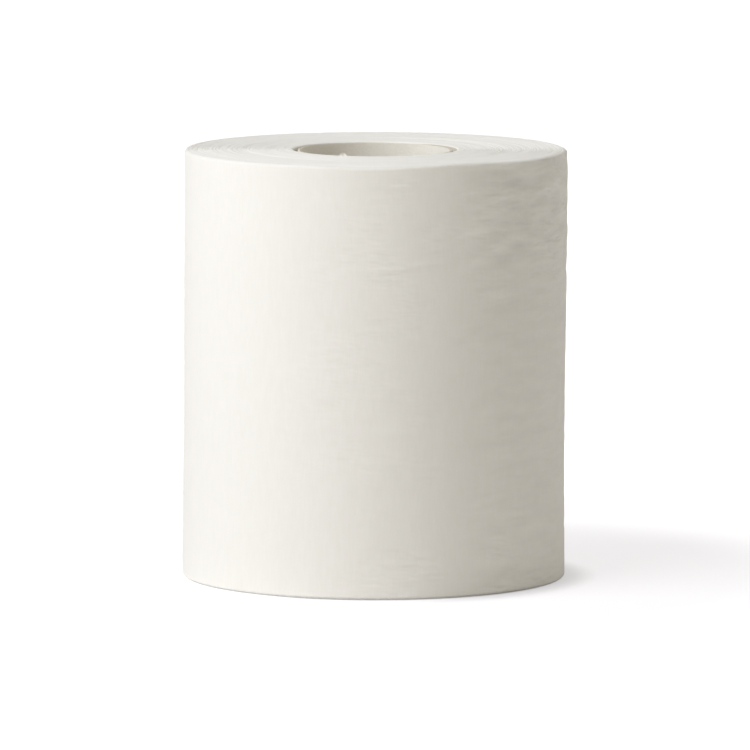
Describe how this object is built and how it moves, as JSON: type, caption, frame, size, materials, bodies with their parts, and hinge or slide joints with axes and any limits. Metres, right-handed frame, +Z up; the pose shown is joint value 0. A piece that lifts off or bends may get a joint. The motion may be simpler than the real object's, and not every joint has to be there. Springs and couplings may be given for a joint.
{
  "type": "toilet paper roll",
  "caption": "Full roll of plain white toilet tissue on a white paperboard core, standing on its end, with perforated sheets, a loose tail and a first turn that clings to the core.",
  "frame": {"origin": "on the core's axis, at the end face that the roll stands on", "axes": "+Z up the core's axis, +Y away from the picture's viewer, +X to the viewer's right"},
  "size_m": [0.1011, 0.1021, 0.1143],
  "materials": {
    "tissue": "matt, soft, finely creped",
    "core_board": "matt"
  },
  "bodies": {
    "root": {"tissue_winding": "tissue", "core_tube": "core_board"}
  },
  "joints": []
}
